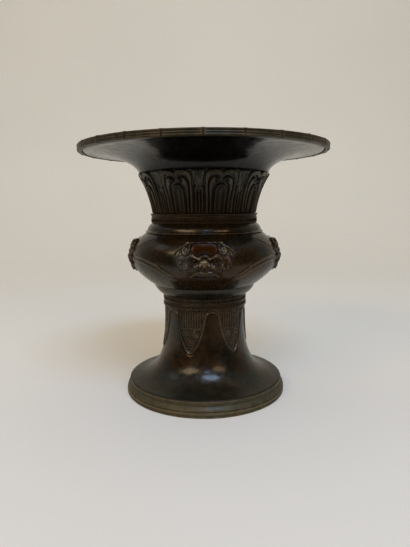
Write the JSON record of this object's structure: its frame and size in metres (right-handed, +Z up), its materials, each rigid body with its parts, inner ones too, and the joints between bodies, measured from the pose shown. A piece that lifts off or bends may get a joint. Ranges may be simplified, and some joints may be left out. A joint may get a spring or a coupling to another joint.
{
  "type": "bronze vase",
  "caption": "Bronze flower vase of gu form: wide flat mouth that lifts out of a leaf-carved flared neck, round belly with lion-dog masks, tall trumpet foot with hanging blades.",
  "frame": {"origin": "centre of the foot's resting face", "axes": "+Z up along the vase's axis; the front mask faces -Y"},
  "size_m": [0.2186, 0.2186, 0.22],
  "materials": {
    "body_bronze": "dark brown patinated bronze, satin",
    "mouth_bronze": "near-black patinated bronze, waxed",
    "rim_bronze": "olive-brown bronze, rubbed edges",
    "mask_bronze": "red-brown bronze, rubbed high spots",
    "inner_bronze": "dull bronze inside"
  },
  "bodies": {
    "vessel": {"foot_rim": "rim_bronze", "foot_column": "body_bronze", "foot_collar": "body_bronze", "seat_ring": "body_bronze", "belly_bowl": "body_bronze", "belly_floor": "inner_bronze", "mask_front": "mask_bronze", "mask_right": "mask_bronze", "mask_back": "mask_bronze", "mask_left": "mask_bronze", "mask_roves": "inner_bronze", "shoulder_ring": "body_bronze", "neck_ring": "body_bronze", "neck_sleeve": "body_bronze"},
    "mouth": {"mouth_dish": "mouth_bronze", "rim_band": "rim_bronze"}
  },
  "joints": [
    {"name": "mouth_lift", "type": "slide", "parent": "vessel", "child": "mouth", "axis": [0, 0, 1], "range_m": [0, 0.045]}
  ]
}
